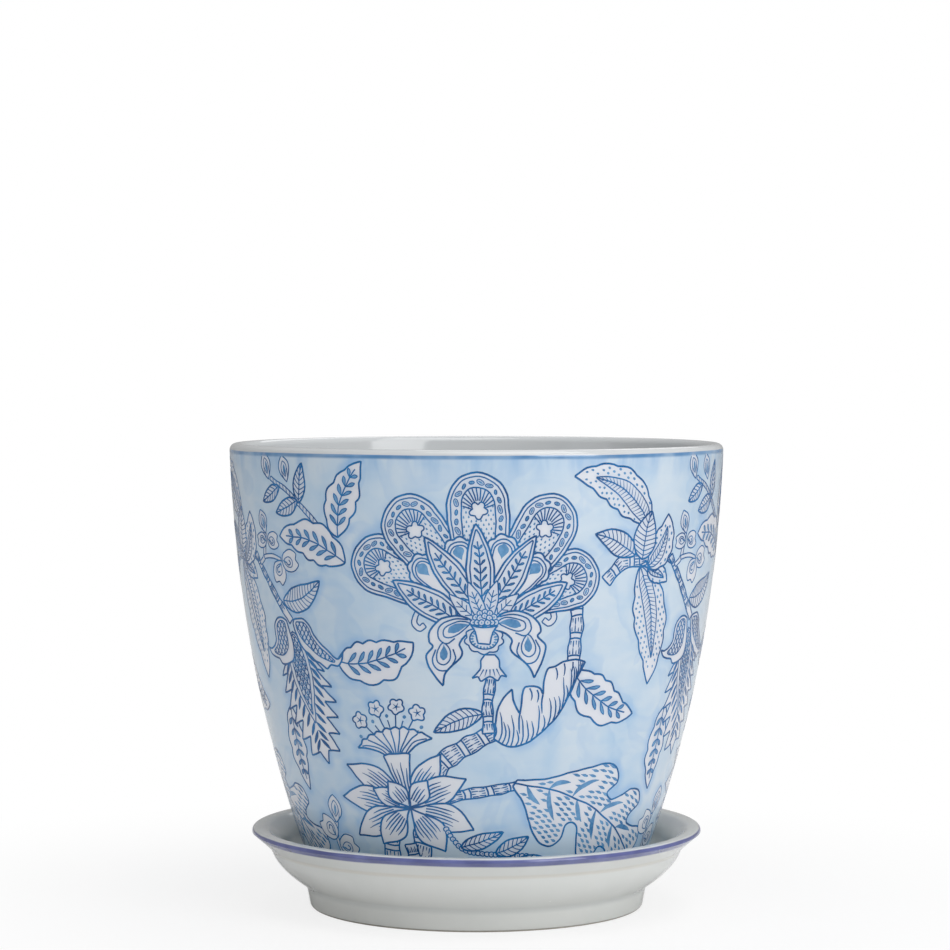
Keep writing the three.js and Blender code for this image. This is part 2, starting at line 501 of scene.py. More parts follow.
class Pen:
    """Draws from a spot of the wall, x to the right and y up. What is drawn later lies on top."""

    def __init__(self, drawing, angle, up, steps=()):
        self.drawing, self.angle, self.up, self.steps = drawing, angle, up, steps

    def at(self, x=0, y=0, turn=0, size=1, flip=False):
        return Pen(self.drawing, self.angle, self.up, (move(x, y, turn, size, flip), *self.steps))

    def bent(self, length, turn):
        return Pen(self.drawing, self.angle, self.up, (bend(length, turn), *self.steps))

    def stroke(self, kind, points, weight, form, step=POINT_STEP):
        p = evenly(points, step)
        for placing in self.steps:
            p = placing(p)
        x, y = unsteady(p).T
        spots = np.column_stack([self.angle + np.degrees(x / radius_at(self.up + y)), self.up + y])
        self.drawing.append((kind, spots, weight * FORMS[form](np.linspace(0, 1, len(p)))))

    def shape(self, outline, weight=BOLD):
        """A white figure with its outline."""
        self.stroke("figure", closed(outline), 0, "even")
        self.stroke("line", closed(outline), weight, "even")

    def blade(self, length, width, widest, weight=BOLD, **more):
        """A white leaf or petal that stands on the y axis."""
        self.shape(both_sides(right_edge(length, width, widest, **more)), weight)

    def line(self, points, weight=FINE, form="even", within=None):
        """A line, or the stretches of it that an outline goes round."""
        if within is None:
            self.stroke("line", points, weight, form)
            return
        fine = evenly(points, 0.3)
        for part in unbroken(inside(fine, within)):
            if part.stop - part.start > 2:
                self.stroke("line", fine[part], weight, form)

    def curve(self, points, weight=FINE, form="even", steps=5, within=None):
        self.line(bezier(points, steps), weight, form, within)

    def touch(self, start, end, width, form="lens", sag=0.0):
        """A solid touch of the brush from one point to another."""
        a, b = np.array(start, float), np.array(end, float)
        aside = np.array([-(b - a)[1], (b - a)[0]]) * sag
        self.stroke("solid", bezier([a, (a + b) / 2 + 2 * aside, b], 8), width, form, 0.4)

    def dot(self, x, y, size):
        self.stroke("solid", [(x, y - size / 2), (x, y + size / 2)], size, "ball", size / 4)


def round_shape(radius, x=0.0, y=0.0, bumps=0, depth=0.0, count=36):
    a = np.linspace(0, 2 * math.pi, count, endpoint=False)
    r = radius * (1 + depth * np.abs(np.sin(a * bumps / 2)) - depth / 2)
    return np.column_stack([x + r * np.sin(a), y + r * np.cos(a)])


def right_edge(length, width, widest=0.42, waves=0, depth=0.0, fullness=0.85):
    """The right edge of a leaf or petal that stands on the y axis."""
    t = np.linspace(0, 1, 72)
    w = np.sin(math.pi * t ** (math.log(0.5) / math.log(widest))) ** fullness * width / 2
    w += depth * (np.abs(np.sin(math.pi * waves * t)) - 0.35 * bool(waves)) * np.sin(math.pi * t) ** 0.6
    return np.column_stack([np.maximum(w, 0), t * length])


def reach_of(edge, y):
    """How far out an edge lies at a height."""
    return np.interp(y, edge[:, 1], edge[:, 0], right=0)


def mirrored(edge):
    """The same edge on the other side, run through backwards."""
    return (edge * (-1, 1))[::-1]


def both_sides(edge):
    return np.vstack([edge, mirrored(edge)[1:]])


def round_petal(length, radius, taper=0.0):
    """A petal with a round end, which closes where it grows: slowly, or soon with more taper."""
    arc = [(0, length - radius) + ray(angle, radius) for angle in np.linspace(90, 0, 26)]
    hips = [(radius * (0.55 - 0.35 * taper), length * 0.15), (radius * (1.02 - 0.25 * taper), length * 0.45)]
    side = bezier([(0, 0), *hips, arc[0]], 10)
    return both_sides(np.vstack([side[:-1], arc]))


# Leaves


def leaflet(pen, length, width):
    """A leaflet with a dark edge round a lighter touch."""
    pen.touch((0, length * 0.04), (0, length * 0.98), width - 0.15, "drop")
    pen.line(both_sides(right_edge(length, width, 0.60)), HAIR)


def feather(pen, length, width, pairs, start=0.14, end=0.88, weight=1.5):
    """Leaflets in pairs on a rib."""
    pen.line([(0, 0), (0, length * end)], 0.6)
    for k in range(pairs):
        t = start + (end - start) * k / pairs
        size = math.hypot(0.55 + 0.5 * math.sin(math.pi * min(1, t + 0.1)), 1) * (1.15 - 0.55 * t)
        for side in EVERY_SIDE:
            leaflet(pen.at(side * 0.3, length * t, side * 42), width * size, weight)


def wavy_leaf(pen, length, width, turn):
    pen = pen.bent(length, turn)
    right = right_edge(length, width, 0.45, 4, width * 0.10)
    left = mirrored(right_edge(length, width * 0.94, 0.40, 5, width * 0.08))
    pen.shape(np.vstack([right, left[1:]]))
    feather(pen, length, width * 0.26, 6)


def ribbed_leaf(pen, length, width, turn):
    pen = pen.bent(length, turn)
    edge = right_edge(length, width)
    pen.shape(both_sides(edge))
    pen.line([(0, 0), (0, length * 0.97)])
    for y in np.arange(length * 0.08, length * 0.84, 1.9):
        for side, rise, share in ((1, 2.6, 1.0), (-1, 2.2, 0.9)):
            reach = side * reach_of(edge, y + rise) * share
            pen.curve([(0, y), (reach * 0.6, y + rise * 0.4), (reach, y + rise)], HAIR)


def dotted_leaf(pen, length, width, turn, heart_width=0.42):
    """A leaf with a smaller leaf of veins in it, and dots on its border."""
    pen = pen.bent(length, turn)
    edge = right_edge(length, width, 0.42, 5, width * 0.06)
    heart = right_edge(length * 0.78, width * heart_width, 0.36) + (0, 0.5)
    pen.shape(both_sides(edge))
    pen.line(both_sides(heart))
    pen.line([(0, 0), (0, length * 0.78)])
    for y in np.arange(length * 0.08, length * 0.70, 1.7):
        reach = reach_of(heart, y + 1.6)
        for side in EVERY_SIDE:
            pen.line([(0, y), (side * reach, y + 1.8)], HAIR, "flick")
    spacing, dot = 2.3, 1.1
    for row in range(int(length / spacing)):
        y = length * 0.05 + spacing * row
        start = reach_of(heart, y) + 1.4 + dot * (row % 2)
        for x in np.arange(start, reach_of(edge, y) - 0.9, spacing):
            for side in EVERY_SIDE:
                pen.dot(side * x, y, dot)


def scales(pen, outline, size, filled):
    """Rows of overlapping scales within an outline, perhaps with a touch in each."""
    (left, low), (right, high) = outline.min(0), outline.max(0)
    for row, y in enumerate(np.arange(low - size, high, size * 0.8)):
        for x in np.arange(left - size, right + size, size) + size / 2 * (row % 2):
            arc = np.array([(-0.48, 0), (-0.42, 1.08), (0.42, 1.08), (0.48, 0)]) * size + (x, y)
            pen.curve(arc, FINE, "even", 6, outline)
            if filled and inside(arc, outline).all():
                pen.touch((x, y + size * 0.72), (x, y + size * 0.05), size * 0.5, "drop")


def toothed_leaf(pen, length, width, turn):
    """A hanging leaf with a saw edge round a lance of scales."""
    teeth = 7
    pen = pen.bent(length, turn)
    edge = right_edge(length, width * 0.82, 0.40)
    saw = [(0.5, 0)]
    for k in range(teeth):
        t = 0.05 + 0.84 * k / teeth
        root, tip = reach_of(edge, np.array((t, t + 0.06)) * length)
        saw += [(root * 0.78, t * length), (tip + width * 0.10, (t + 0.14) * length)]
    pen.shape(both_sides(np.array([*saw, (width * 0.09, 0.90 * length), (0, length)])))
    lance = right_edge(length * 0.68, width * 0.42, 0.36)
    for y in np.arange(length * 0.14, length * 0.82, length * 0.066):
        reach = reach_of(lance, y)
        for side in EVERY_SIDE:
            spike = [(side * (reach + 0.2), y), (side * (reach + 4.2), y + 5.4)]
            pen.stroke("line", spike, 1.8, "lens", 0.4)
    pen.shape(both_sides(lance), THIN)
    heart = both_sides(right_edge(length * 0.60, width * 0.42 - 4, 0.36) + (0, 0.8))
    pen.line(heart)
    scales(pen, heart, 2.5, True)


def bract(pen, back, front, border):
    """A curled bract with a ruffled front edge and a border of scales along its back."""
    pen.shape(np.vstack([smooth(back, steps=5), smooth(front, steps=5)[1:-1]]))
    heart = smooth(border, True, 4)
    scales(pen, heart, 2.3, False)
    pen.line(closed(heart))


def bracts(pen):
    """The two bracts at the end of the hanging stem."""
    bract(
        pen,
        [
            (1.2, -0.3), (1.8, 1.2), (4, 2), (8, 2.1), (11.2, -0.7), (13.2, -4.7), (16.1, -7.7),
            (19.7, -10.2), (23.4, -13), (25.4, -12.6), (27.1, -10.6),
        ],
        [
            (27.1, -10.6), (26.1, -13.8), (23.9, -16.2), (20.6, -15.9), (18.1, -17.5), (15.2, -15.8),
            (12.2, -15.2), (9.6, -12.8), (6.3, -10.6), (4, -7), (2.2, -3.3), (1.2, -0.3),
        ],
        [
            (3, 0.1), (5.4, 0.8), (8, 0.6), (10.2, -1.6), (12, -5.4), (15.1, -8.8), (18.9, -11.4),
            (22.8, -13.9), (21.6, -14.7), (18.4, -13.9), (14.6, -12.7), (11, -10.4), (7.2, -7.4), (4, -3.6),
        ],
    )
    bract(
        pen,
        [
            (-3, 0.6), (-5.9, 1.8), (-9.7, 1.3), (-12.2, -1.1), (-12.9, -4.7), (-13.2, -7.9), (-15.1, -10.6),
            (-18, -11.7), (-20.5, -11.3),
        ],
        [
            (-20.5, -11.3), (-18.3, -14), (-14.9, -15.4), (-12.1, -16), (-9.7, -18), (-5.4, -17),
            (-2.3, -15.6), (-0.7, -12.6), (-0.3, -9.4), (-0.9, -5.5), (-2.2, -1.9), (-3, 0.6),
        ],
        [
            (-5.4, 0.2), (-8.1, 0.2), (-10.5, -1.5), (-11.2, -5), (-11.5, -8.3), (-13.1, -11),
            (-15.6, -12.8), (-13.5, -14.2), (-10.3, -14.4), (-7.1, -13.4), (-4.8, -11), (-3.9, -8),
            (-3.8, -4.7), (-4.2, -1.3),
        ],
    )


def distance_to(point, start, end):
    """From a point to the nearest of a straight line's points."""
    along = np.clip(np.dot(point - start, end - start) / np.dot(end - start, end - start), 0, 1)
    return np.hypot(*(point - start - along * (end - start)))


def lobed_leaf(pen, length, width, turn):
    """A broad leaf with round lobes, filled with rows of small drops."""
    pen = pen.bent(length, turn)
    left = [
        (3, 0), (6, 10), (12, 22), (24, 33), (38, 43), (47, 50), (47, 57), (36, 61), (22, 59), (19, 64),
        (30, 69), (43, 73), (49, 79), (41, 84), (25, 83), (16, 85), (20, 91), (29, 97), (22, 104),
        (10, 106), (0, 103),
    ]
    right = [
        (3, 0), (9, 3), (17, 8), (28, 12), (42, 17), (52, 24), (57, 32), (56, 40), (46, 45), (30, 44),
        (24, 48), (28, 54), (40, 59), (50, 66), (52, 74), (42, 79), (28, 79), (24, 85), (28, 92),
        (25, 100), (12, 105), (0, 103),
    ]
    left, right = (smooth(np.array(edge) / 100 * (width, length), steps=6) for edge in (left, right))
    outline = np.vstack([right, mirrored(left)[1:-1]])
    pen.shape(outline)
    pen.curve([(0, 0), (0.6, length * 0.5), (0, length * 1.02)], 0.75, steps=12)
    veins = []
    on_the_left = ((0.22, -0.14), (0.38, -0.30), (0.62, -0.28), (0.80, -0.16))
    on_the_right = ((0.08, 0.20), (0.22, 0.32), (0.42, 0.22), (0.58, 0.30), (0.76, 0.20))
    for t, reach in on_the_left + on_the_right:
        root = np.array((0, length * t))
        tip = root + np.array((width * reach, length * 0.13)) * 0.9
        pen.touch(root, tip, 2.1, "lens", -0.10 * np.sign(reach))
        veins.append((root, tip))
    for row, y in enumerate(np.arange(0.8, length * 1.03, 3.2)):
        for x in np.arange(-11, 12) * 2.5 + 1.25 * (row % 2):
            middle = np.array((x, y + 1.0))
            clear = abs(x) > 1.2 and inside(round_shape(1.0, *middle, count=8), outline).all()
            if clear and all(distance_to(middle, *vein) > 1.8 for vein in veins):
                pen.touch((x, y - 0.8), (x + 0.5 * np.sign(x), y + 2.6), 1.35, "drop")


def rolled_leaf(pen):
    """A long leaf on the branch, rolled over along its scalloped edge."""
    foot, low_notch, high_notch, end, spur = (0, 0), (10.5, 10.6), (19.4, 18.6), (37.4, 31), (6.6, 21)
    under = smooth([foot, (6, -2.8), (14, -1.2), (23, 6), (30, 16), (34, 25), end], steps=8)
    over = [
        smooth([end, (33, 32.5), (28, 31.9), (24.3, 30), (21.2, 28.7), (20, 23.7), high_notch], steps=6),
        smooth([high_notch, (18, 21.2), (13.7, 21.9), (11.2, 20), low_notch], steps=6),
        smooth([low_notch, (8.8, 13), (7.4, 16.6), spur], steps=5),
        smooth([spur, (3.0, 16.4), (0.6, 8.6), foot], steps=6),
    ]
    outline = np.vstack([under, *(scallop[1:] for scallop in over)])[:-1]
    pen.shape(outline)
    folds = 22
    for k in range(folds):
        root = under[int((0.02 + 0.94 * k / folds) * (len(under) - 1))] + (-0.2, 0.3)
        lift = 6.5 + 6.5 * math.sin(k * 1.9) ** 2
        pen.curve([root, root + (2.0, lift * 0.4), root + (0.4, lift)], THIN, "taper", 8, outline)
    for x, y in (low_notch, high_notch):
        pen.curve([(x, y), (x - 1.0, y - 4), (x - 0.2, y - 8)], FIRM, "taper")
    for x, y, lean in ((14, 21, 0.4), (17, 20.4, 0), (24.5, 29.4, 0.6), (28, 31, 0), (32, 31.6, -1)):
        pen.curve([(x, y), (x + lean + 1, y - 2), (x + lean, y - 5)], THIN, "taper")


# Stems


def node_rings(pen, line, aside, along, grain):
    """A double ring at each node of a stem, and the grain on both sides of it."""
    for k in range(NODE_EVERY // 2, len(line) - NODE_EVERY // 2, NODE_EVERY):
        for j in (k, k + 3):
            pen.curve([line[j] + aside[j], line[j] + along[j] * 0.7, line[j] - aside[j]], FIRM)
        for number, share in enumerate(grain):
            reach = 2.7 - 1.1 * (number % 2)
            for j, sense in ((k + 4, 1), (k - 1, -1)):
                root = line[j] + aside[j] * share
                pen.line([root, root + along[j] * reach * sense], FINE, "taper")


def stem(pen, points, start, end, marks="nodes"):
    """A stem from one width to another: plain, twisted like rope or with ringed nodes."""
    line = evenly(smooth(points, steps=10), 0.8)
    along = direction(line)
    width = np.linspace(start, end, len(line))
    if marks == "nodes":
        width = width * (1 + 0.10 * np.cos(np.arange(len(line)) * 2 * math.pi / NODE_EVERY))
    aside = leftwards(along) * width[:, None] / 2
    left, right = line + aside, line - aside
    pen.shape(np.vstack([left, right[::-1]]), CLEAR if marks == "nodes" else FINE)
    if marks == "nodes":
        thick = end > 6
        grain = (-0.8, -0.5, -0.15, 0.2, 0.5, 0.8) if thick else (-0.72, -0.25, 0.25, 0.72)
        node_rings(pen, line, aside, along, grain)
    if marks == "rope":
        for k in range(2, len(line) - 3, 3):
            pen.line([left[k], right[k + 2]], HAIR)


def chain(pen, points):
    """A stem of small round links."""
    size = 2.2
    for number, (x, y) in enumerate(evenly(smooth(points), size * 0.82)):
        pen.shape(round_shape(size / 2, x, y, count=12), FINE)
        if number % 2:
            pen.dot(x, y, 0.7)


# The great flower


def fan_petal(pen, length, radius, taper):
    """A round petal with a seeded border and a shell in it."""
    pen.shape(round_petal(length, radius, taper))
    pen.line(round_petal(length - 1.5, radius - 1.5, taper))
    border = evenly(round_petal(length - 3.6, radius - 3.6, taper), 3.7)
    for k, (spot, (dx, dy)) in enumerate(zip(border, direction(border))):
        if spot[1] > length * 0.36:
            turn = math.degrees(math.atan2(dx, dy) + 0.5 * math.sin(k * 2.4))
            seed = pen.at(*spot, turn, 1 + 0.25 * math.sin(k * 1.7))
            seed.touch((0, -1.0), (0, 1.0), 0.9)
            seed.line(closed(round_shape(1, count=12) * (0.72, 1.35)), HAIR)
    inner = round_petal(length - 5.6, radius - 5.6, taper)
    pen.line(inner[inner[:, 1] > length * 0.40], THIN)
    centre, shell = length - radius, radius - 5.8
    star, star_size = centre - 2.4, shell * 0.46
    for angle in range(-96, 97, 16):
        tip = (0, centre) + ray(angle, shell - 0.2)
        pen.line([tip + ((0, star) - tip) * 0.56, tip])
    pen.shape(round_shape(star_size, 0, star, 5, 0.5), THIN)
    for row in range(9):
        y = star + 1.2 - row * 1.8
        for x in np.arange(-3, 4) * 1.9 + 0.95 * (row % 2):
            if abs(x) < shell * 0.95 and math.hypot(x, y - star) > star_size + 1:
                pen.dot(x, y, 0.95)


def lance_petal(pen, length, width):
    pen.blade(length, width, 0.52)
    pen.line(both_sides(right_edge(length - 3.4, width - 3.0, 0.52) + (0, 1.2)), THIN)
    feather(pen, length * 0.86, width * 0.25, 8, 0.20, 0.95, 0.7)


def eye_petal(pen, length):
    """A small scalloped petal between two round ones, with a solid eye in rings."""
    radius = 6.2
    centre = length - radius
    pen.shape(round_shape(radius, 0, centre, 7, 0.14, 42))
    pen.shape(round_petal(length - 1.6, radius - 1.6), THIN)
    pen.line(round_petal(length - 3.0, radius - 2.6))
    pen.touch((0, centre - 3.4), (0, length - 3.4), 4.6, "drop")


def fan_of_petals(pen):
    """Round petals at the back, eyed ones between them, and pointed ones in front."""
    for turn, length, radius, taper in (
        (67, 50.5, 11.8, 0.9), (-64, 59.5, 11.8, 0.9), (34.5, 57, 12.2, 0.2), (-38.5, 59, 12.2, 0.2),
        (-3.5, 57.5, 12.2, 0),
    ):
        fan_petal(pen.at(turn=turn), length, radius, taper)
    for turn, length in ((46, 34), (-52, 37), (15.5, 34), (-21.5, 34)):
        eye_petal(pen.at(turn=turn), length)
    for x, y, turn, length, width in (
        (4.2, -3.5, 60, 34, 11.4), (-4.6, -4.2, -60, 37, 11.6), (0, -1, 31, 39, 10.8),
        (0, -1, -36, 40.5, 10.8), (0, -1, -5, 38.5, 10.8),
    ):
        lance_petal(pen.at(x, y, turn), length, width)


def veined_petal(pen):
    pen.blade(19, 5.6, 0.5, FINE)
    pen.line([(0, 4), (0, 15)], HAIR)
    for y in (7, 9.5, 12):
        for side in EVERY_SIDE:
            pen.line([(0, y), (side * 1.7, y + 1.8)], HAIR)


def hanging_petal(pen):
    """A petal that curls down beside the cup, with eyes on it."""
    tip = (20.5, -31)
    back = [(3, 1), (12, 5), (21, 3.2), (27, -3), (27.6, -8), (25.4, -10.6), (28.6, -16), (25.5, -24), tip]
    front = [tip, (18.6, -24), (12.6, -17.5), (11, -13.6), (12.4, -9.6), (9, -5), (3, -2.5)]
    pen.shape(np.vstack([smooth(back, steps=7), smooth(front, steps=7)[1:]]))
    pen.line(smooth([(8, 3.0), (15, 3.4), (22, -0.6), (23, -6), (19, -9), (14.6, -6.6)], steps=6), THIN)
    eye = [(7, 1.0), (13, 2.2), (19.6, -1.4), (20, -5.2), (15.5, -5.8), (10, -2.4)]
    pen.shape(smooth(eye, True, 5), FINE)
    pen.touch((6.5, 0.0), (17.8, -3.4), 3.6, "drop", 0.1)
    ring = [(15.6, -12), (14.2, -17), (17.4, -22.6), (22.6, -22.8), (25.4, -17.6), (24, -12)]
    pen.line(smooth(ring, steps=6), THIN)
    eye = [(20.4, -8.6), (23.4, -13.6), (22.6, -18.4), (19.6, -20), (16.8, -17.6), (17, -12.6)]
    pen.shape(smooth(eye, True, 5), FINE)
    pen.touch((20.2, -9.4), (19.8, -17.6), 3.3, "drop")


def collar(pen):
    """The ruffled collar round the cup."""
    flatness = 0.74
    pen.shape(round_shape(7.4, 0, 0.4, 9, 0.16) * (1, flatness), THIN)
    pen.line(round_shape(5.6, 0, 0.8, count=30) * (1, flatness), THIN)
    for angle in np.linspace(0, 360, 20, endpoint=False):
        outwards = ray(angle, 1, flatness)
        pen.touch((0, 0.4) + outwards * 3.9, (0, 0.4) + outwards * 5.4, 0.9)


def cup(pen):
    """The cup, heaped with seeds."""
    left = bezier([(-5.2, 0.6), (-2.8, -2.4), (-2.4, -7)], 6)
    mouth = bezier([(5.2, 0.6), (2.4, -1.0), (-2.4, -1.0), (-5.2, 0.6)], 8)
    pen.shape(np.vstack([left, mirrored(left), mouth[1:-1]]), CLEAR)
    for reach, count in ((4.3, 7), (2.7, 5), (1.1, 2)):
        for angle in np.linspace(-84, 84, count):
            x, y = (0, 1.2) + ray(angle, reach, reach * 1.05)
            pen.shape(round_shape(1.2, x, y, count=12), 0.5)
            pen.dot(x, y, 0.7)


def bell(pen):
    """The bell that hangs under the collar."""
    right = smooth([(2.0, 0.5), (3.8, -2), (3.9, -5.4), (6.8, -9)], steps=5)
    hem = [(6.8, -9), (4.4, -8.4), (3.2, -10.4), (0, -8.6), (-3.2, -10.4), (-4.4, -8.4), (-6.8, -9)]
    pen.shape(np.vstack([right, smooth(hem, steps=4)[1:], mirrored(right)[1:]]), CLEAR)
    for x in (-2.8, -1.4, 0, 1.4, 2.8):
        pen.curve([(x * 0.9, -5.5), (x, -6.6), (x * 1.4, -8.6)], FINE, "flick")


def great_flower(pen):
    """A fan of petals over a cup, as on old printed cottons."""
    tendril = [(15, 6), (21, 7.5), (26, 6), (28, 1.5), (26, -1.2), (23.8, 0.2)]
    stem(pen.at(0, 2), tendril, 1.9, 2.3, "plain")
    stem(pen.at(flip=True), tendril, 1.9, 2.3, "plain")
    fan_of_petals(pen.at(0, 3.5))
    for turn in (46, -48, 15, -19):
        veined_petal(pen.at(turn=turn))
    hanging_petal(pen.at(turn=-10, size=0.79).at(0, 0.5))
    hanging_petal(pen.at(size=0.80).at(0, 0.5, flip=True))
    collar(pen.at(0, -5.6))
    cup(pen)
    bell(pen.at(2.2, -11.8))


# The star flower


def pointed_petal(pen, turn, length, width, curl):
    """A petal with creases that run up from where it grows."""
    pen = pen.at(turn=turn).bent(length, curl)
    pen.blade(length, width, 0.56, fullness=1.15)
    shares = (-0.30, -0.18, -0.06, 0.06, 0.18, 0.30) if length > 16 else (-0.22, -0.07, 0.08, 0.23)
    for number, share in enumerate(shares):
        root = (share * width * 0.72, length * 0.24)
        tip = (share * width + 0.4, length * (0.78 - 0.42 * abs(share) - 0.08 * (number % 2)))
        pen.curve([root, (share * width * 1.05, length * 0.38), tip], THIN, "taper", 6)


def crown_blossoms(pen):
    """Small blossoms on stalks, with pin heads between them."""
    up = 20.6
    for k, turn in enumerate((-39, -12, 13, 38)):
        stalk = pen.at(turn=turn)
        stalk.line([(0, 10), (0, 18.5)], THIN)
        stalk.shape(round_shape(3.0, 0, up, 5, 0.36), CLEAR)
        for j in range(5):
            stalk.line([(0, up), (0, up) + ray(72 * j + 10 * k, 1.8)], FINE, "flick")
        stalk.dot(0, up, 0.9)
    for turn in (-56, -25, 0, 25, 52):
        stalk = pen.at(turn=turn)
        stalk.line([(0, 11), (0, 15)])
        stalk.dot(0, 16.8, 1.5)


def crown_fan(pen):
    """The open fan at the top of the crown, with a scalloped hem."""
    ribs, first, spread = 8, -52, 13
    hem = []
    for k in range(ribs):
        left, right = first + spread * k, first + spread * (k + 1)
        points = [ray(left, 18.2, 10.6), ray((left + right) / 2, 19.4, 12.9), ray(right, 18.2, 10.6)]
        hem += bezier(points)[:-1].tolist()
    side = bezier([(3.6, -1), (8, 4.4), (16.6, 5)], 7)
    pen.shape(np.vstack([mirrored(side), side, hem[::-1]]))
    for k in range(1, ribs):
        angle = first + spread * k
        pen.curve([(0, 1) + ray(angle, 3.6, 0), (0, 5.4) + ray(angle, 10, 0), ray(angle, 17.8, 10.2)], THIN)
    for side in EVERY_SIDE:
        pen.curve([(side * 14.4, 5.4), (side * 8, 6.2), (side * 4, 0.6)], steps=7)


def star_flower(pen):
    """A flower of pointed petals, with a tall striped crown that carries small blossoms."""
    pointed_petal(pen, 25, 28, 10, 14)
    pointed_petal(pen, -42, 33, 11, -32)
    crown = pen.at(turn=-9)
    crown_blossoms(crown.at(0, 23))
    crown_fan(crown.at(0, 23))
    right = smooth([(1.2, 0), (3.1, 11), (5.5, 23)], steps=6)
    lip = bezier([(5.6, 23), (2.8, 24.4), (0, 22.8), (-2.8, 24.4), (-5.6, 23)], 10)
    crown.shape(np.vstack([right, lip[1:], mirrored(right)[1:]]))
    for number, x in enumerate((-0.66, -0.24, 0.2, 0.62)):
        crown.line([(x * 2.4, 8), (x * 4.8, 20 - 2.6 * (number % 2))], THIN, "taper")
    for petal in (
        (53, 27.5, 11.5, 16), (-76, 32, 11.5, -16), (-108, 28.5, 12.6, -20), (98, 26.5, 12.6, 22),
        (-132, 21.5, 12, -18), (138, 22.5, 12.6, 14), (-59, 17.5, 8, -10), (-33, 14.5, 8.2, -10),
        (30, 15, 8.6, 10),
    ):
        pointed_petal(pen, *petal)


# Small flowers


def blossom(pen, size):
    """A small flower seen from the side."""
    pen = pen.at(size=size)
    outside = [(0, 0), (4.6, 1.5), (6.2, 6), (4.4, 10.5), (1.5, 9.6), (-1.2, 10.8), (-3.6, 7), (-3, 2.5)]
    pen.shape(smooth(outside, True, 5), FINE)
    pen.shape(smooth([(0.4, 1.4), (3.4, 3.2), (3.8, 6), (1.2, 7.2), (-0.9, 4.8)], True, 5), HAIR)
    pen.line(smooth([(1.2, 2.6), (2.8, 4.0), (2.2, 5.8), (0.6, 5.0)], steps=4))
    pen.touch((0.2, 0.6), (1.8, 3.4), 1.0)


def bud(pen, size):
    pen = pen.at(size=size)
    pen.blade(10.5, 6.6, 0.56, FINE)
    pen.line(both_sides(right_edge(6.2, 3.4, 0.56)) + (0, 2.2), HAIR)
    pen.touch((0, 3.0), (0.2, 7.0), 1.5)
    for x in (-2.1, 2.1):
        pen.curve([(x * 0.5, 1.2), (x, 3.6), (x * 0.8, 6.4)], HAIR, "flick")


# The branch, whose spots are in degrees from its middle and in millimetres up the wall


def branch_with_flowers(spot):
    main = [(-1, -27), (5, -14), (9, 4), (13.8, 18.3), (23.9, 26.9), (37.7, 34.4), (43, 35.4)]
    stem(spot(-20, 30), main, 8.6, 6.4)
    stem(spot(3, 64), [(0, 0), (-0.5, 10), (0.4, 20), (0.6, 32)], 4.2, 3.8)
    stem(spot(-20, 30), [(10, 5), (27.5, 8.6), (43.7, 11.4), (49, 12)], 4.6, 3.8)
    stem(spot(24, 90), [(-0.5, -2), (-0.6, 8), (0, 18), (-2, 32)], 5.6, 5)
    stem(spot(30, 128), [(1.5, -3), (5.5, 1.5), (10.5, 4.6), (22, 5)], 4.8, 5.2)
    stem(spot(40, 133), [(0, 0), (8, 2), (15, 1.5), (20.5, -1.5)], 4.0, 3.0)
    wavy_leaf(spot(23.9, 89, 145), 38, 17, -46)
    rolled_leaf(spot(4.4, 61.5))
    ribbed_leaf(spot(1.5, 72, -98), 21, 8.6, -26)
    great_flower(spot(1.8, 108))
    stem(spot(-24, -6), [(-3, 26), (-3.4, 14), (-4.5, 4)], 7.6, 5.0)
    stem(spot(-24, -6), [(5, 22), (6.5, 13), (6, 4)], 4.4, 7.0)
    star_flower(spot(-19, 31.5))
    lobed_leaf(spot(10, 42.7, 95), 69, 41, 50)


def growth_at_the_foot(spot):
    foot = spot(0, 0)
    chain(foot, [(-12, 23), (-9.2, 18.4), (-6, 15), (-1.5, 13), (4, 12), (12, 11.4), (20, 11)])
    chain(foot, [(-12, 4), (-4, 3), (6, 1.6), (16, 1)])
    for x, y, turn, length in (
        (-5.9, 15.3, 76, 17.6), (7.9, 12, 67, 15.2), (17, 9.8, 112, 15), (2, 7, 146, 15),
    ):
        ribbed_leaf(foot.at(x, y, turn), length, 6.8, -14)


def cluster_of_leaves(spot):
    knot = spot(40, 133)
    dotted_leaf(knot.at(1, -2.5, 151), 51, 18, 32)
    dotted_leaf(knot.at(5, -3.5, 108), 14, 8, 16)
    dotted_leaf(knot.at(5, -2.5, 62), 24.5, 13, -70)
    ribbed_leaf(knot.at(-2.5, 2, -52), 22, 9.6, -27)
    dotted_leaf(spot(42, 147, -28), 44, 16.5, -66, 0.5)
    ribbed_leaf(knot.at(1.5, 0, 4), 20, 12.5, 14)


